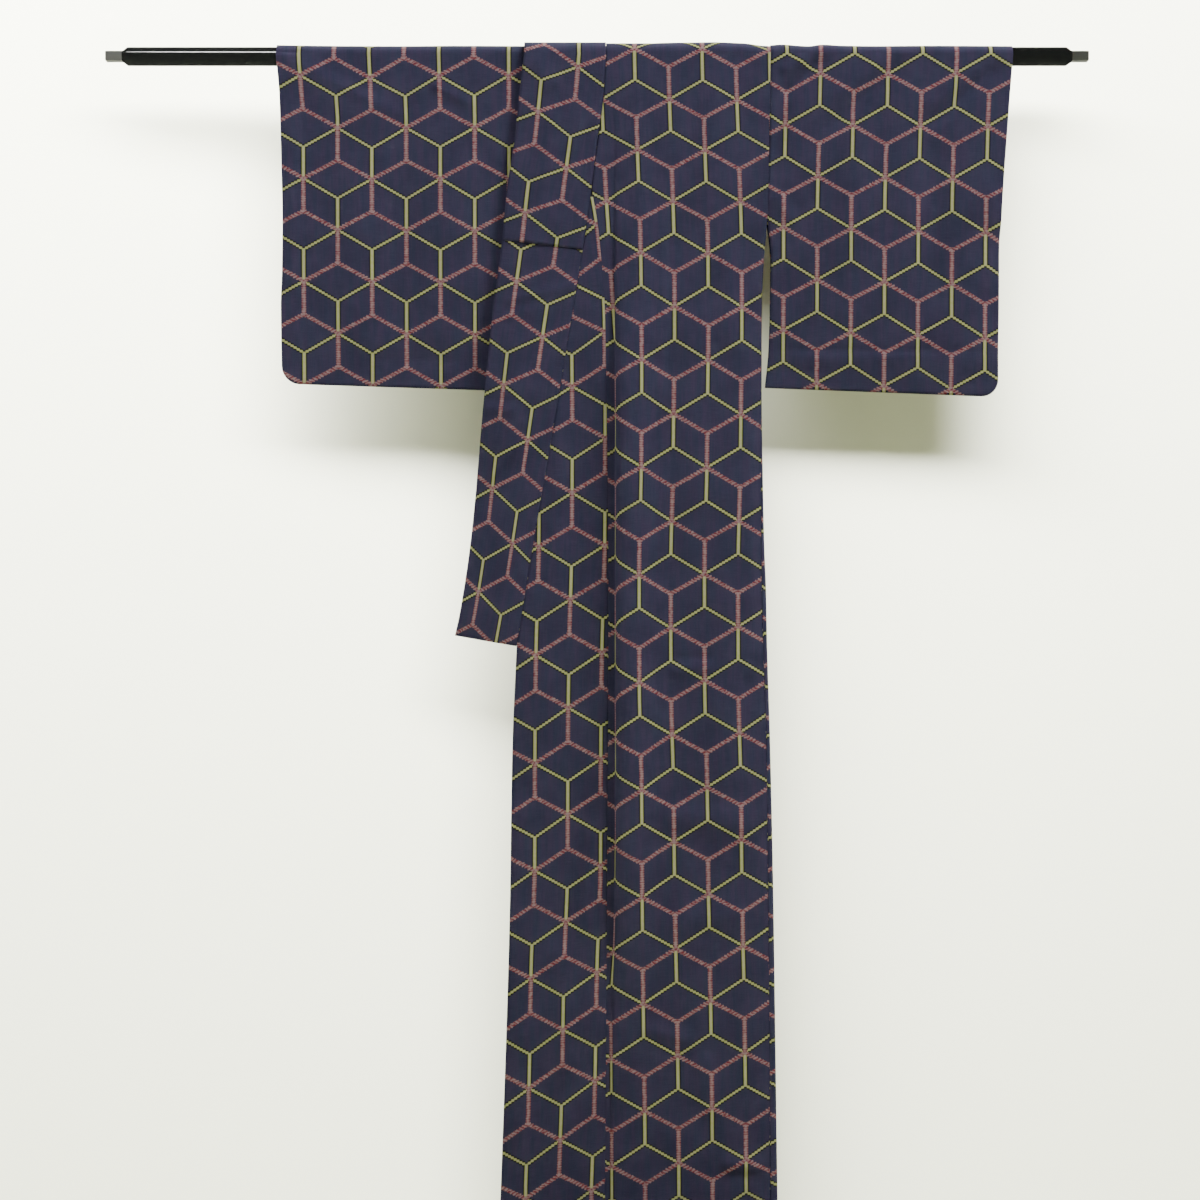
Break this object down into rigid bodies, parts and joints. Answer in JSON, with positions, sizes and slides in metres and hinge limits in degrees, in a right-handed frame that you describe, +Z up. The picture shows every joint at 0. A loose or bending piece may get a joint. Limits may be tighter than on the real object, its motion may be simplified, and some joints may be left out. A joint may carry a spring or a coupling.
{
  "type": "kimono on a hanging rod",
  "caption": "Woman's kimono of patterned cloth, folded to half its width and hung by both sleeves on a lacquered rod.",
  "frame": {"origin": "middle of the rod's axis, where the rod is held", "axes": "+Z up, +X along the rod towards the viewer's right, the front faces -Y"},
  "size_m": [1.408, 0.0483, 1.6852],
  "materials": {
    "kimono_cloth": "matte woven wool-like cloth, navy with pink and yellow-green lattice lines",
    "black_lacquer": "gloss black lacquer on wood"
  },
  "bodies": {
    "root": {"body_left": "kimono_cloth", "body_right": "kimono_cloth", "sleeve_left": "kimono_cloth", "sleeve_right": "kimono_cloth", "okumi_left": "kimono_cloth", "okumi_right": "kimono_cloth", "collar": "kimono_cloth", "over_collar": "kimono_cloth", "rod": "black_lacquer"}
  },
  "joints": []
}
